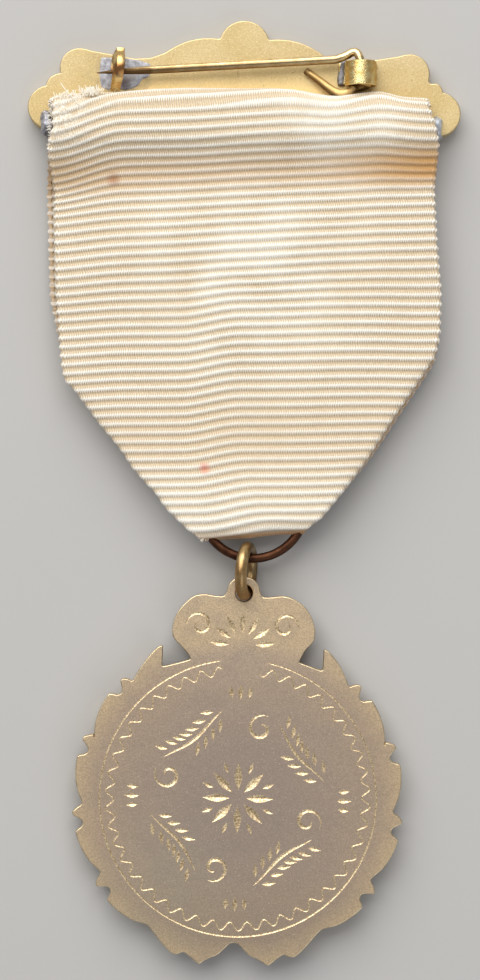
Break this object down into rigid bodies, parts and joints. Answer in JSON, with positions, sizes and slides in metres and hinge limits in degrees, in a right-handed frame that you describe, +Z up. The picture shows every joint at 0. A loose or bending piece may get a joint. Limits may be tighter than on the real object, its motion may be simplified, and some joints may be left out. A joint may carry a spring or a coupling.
{
  "type": "fraternal jewel",
  "caption": "Breast jewel lying face down: lobed brooch bar with hinged pin and hook catch, doubled ribbed ribbon, half-moon ring, jump ring and struck pendant with a laurel edge.",
  "frame": {"origin": "middle of the lower face of the box around the whole jewel, on the surface that it lies on", "axes": "+Y from the pendant up to the brooch bar, +Z up from the surface out of the jewel's back, +X to the right when its back is seen with the bar at the top"},
  "size_m": [0.0426, 0.0926, 0.0059],
  "materials": {
    "gilt_bar": "satin gilding over brass, with grey solder and tarnish",
    "pin_brass": "drawn wire, polished by use",
    "ribbon_cream": "ribbed grosgrain weave, cream, a little soiled",
    "ring_copper": "brown tarnished wire",
    "ring_brass": "worn round wire",
    "pendant_brass": "matt oxidised gilding with bright edges"
  },
  "bodies": {
    "root": {"brooch_bar": "gilt_bar", "ribbon": "ribbon_cream", "ribbon_ring": "ring_copper", "jump_ring": "ring_brass", "pendant": "pendant_brass"},
    "pin": {"brooch_pin": "pin_brass"}
  },
  "joints": [
    {"name": "pin_hinge", "type": "hinge", "parent": "root", "child": "pin", "pos_m": [0.01146, 0.0409, 0.0035], "axis": [0, 1, 0], "range_deg": [0, 110]}
  ]
}
